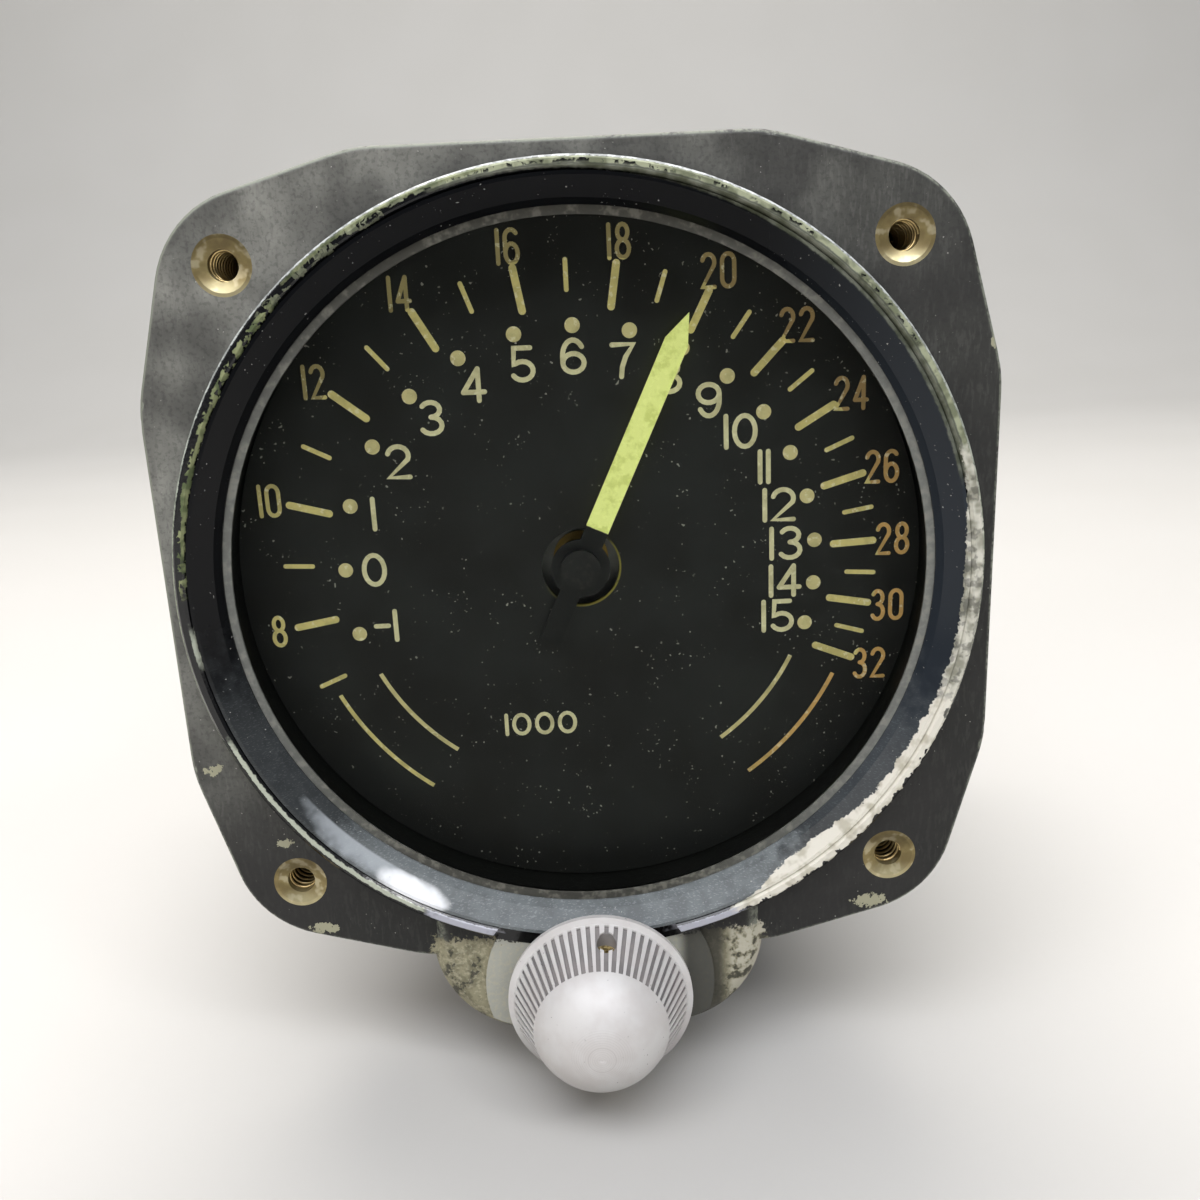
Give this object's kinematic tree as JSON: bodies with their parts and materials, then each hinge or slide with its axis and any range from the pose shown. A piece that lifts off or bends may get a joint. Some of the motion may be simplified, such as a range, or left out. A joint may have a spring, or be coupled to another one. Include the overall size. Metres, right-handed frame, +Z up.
{
  "type": "cabin altitude selector",
  "caption": "Round-dial panel instrument with a square flange: a fluted knob under the dial turns one pointer over two altitude scales and loads a pneumatic valve.",
  "frame": {"origin": "centre of the four mounting screws, on the flange's front face", "axes": "+X to the dial's right, +Z up, +Y into the instrument panel; the dial faces -Y"},
  "size_m": [0.0824, 0.1061, 0.0981],
  "materials": {
    "case_paint": "worn satin black paint on an aluminium casting",
    "cover_paint": "satin black paint",
    "insert_brass": "tarnished brass",
    "bezel_gloss": "gloss black enamel",
    "gasket_grey": "grey, matt",
    "glass": "clear",
    "dial_black": "matt black paint with cream and orange figures",
    "pointer_paint": "yellow-green luminous blade, black root and tail",
    "hub_black": "matt black",
    "knob_aluminium": "bead-blasted, fluted skirt",
    "plate_aluminium": "milled",
    "steel": "plain",
    "spring_steel": "drawn wire",
    "brass": "machined",
    "seal_rubber": "black"
  },
  "bodies": {
    "case_body": {"case": "case_paint", "mount_inserts": "insert_brass", "bezel_ring": "bezel_gloss", "glass_gasket": "gasket_grey", "cover_glass": "glass", "dial_plate": "dial_black", "dial_screws": "steel", "stop_studs": "steel", "spindle_bushes": "brass", "front_plate": "plate_aluminium", "rear_plate": "plate_aluminium", "pillars": "brass", "pillar_screws": "steel", "plate_screws": "steel", "idler_pin": "steel", "idler_clip": "steel", "shaft_bush": "brass", "shaft_seal": "seal_rubber", "shaft_washer": "steel", "gear_cover": "cover_paint", "gear_cover_screws": "steel", "guide_rods": "steel", "backlash_spring": "spring_steel", "valve_seat": "brass", "poppet_spring": "spring_steel", "rear_cover": "cover_paint", "cover_gasket": "seal_rubber", "cover_screws": "steel", "port_screen": "brass"},
    "pointer_set": {"pointer": "pointer_paint", "pointer_hub": "hub_black", "spindle": "steel", "main_gear": "brass", "gear_stop_pin": "steel"},
    "idler": {"idler_gear": "brass"},
    "knob_set": {"knob": "knob_aluminium", "knob_set_screw": "steel", "knob_shaft": "steel", "knob_pinion": "brass"},
    "crosshead_set": {"crosshead": "brass", "bellows": "brass"},
    "poppet_set": {"valve_poppet": "steel"}
  },
  "joints": [
    {"name": "pointer_turn", "type": "hinge", "parent": "case_body", "child": "pointer_set", "pos_m": [0, 0, 0], "axis": [0, 1, 0], "range_deg": [-131.7, 83.7]},
    {"name": "idler_turn", "type": "hinge", "parent": "case_body", "child": "idler", "pos_m": [-0.00261, 0, -0.03029], "axis": [0, 1, 0], "range_deg": [-238, 373]},
    {"name": "knob_turn", "type": "hinge", "parent": "case_body", "child": "knob_set", "pos_m": [0, 0, -0.04445], "axis": [0, 1, 0], "range_deg": [-465, 297]},
    {"name": "crosshead_slide", "type": "slide", "parent": "case_body", "child": "crosshead_set", "axis": [0, 1, 0], "range_m": [-0.0015, 0.0023], "deforming": ["backlash_spring", "bellows"]},
    {"name": "poppet_slide", "type": "slide", "parent": "case_body", "child": "poppet_set", "axis": [0, 1, 0], "range_m": [0, 0.0006], "stiffness_N_per_m": 150, "deforming": ["poppet_spring"]}
  ],
  "couplings": [
    {"joint": "idler_turn", "follows": "pointer_turn", "ratio": -2.8},
    {"joint": "knob_turn", "follows": "pointer_turn", "ratio": 3.5},
    {"joint": "crosshead_slide", "follows": "pointer_turn", "m_per_rad": -0.00095493}
  ]
}
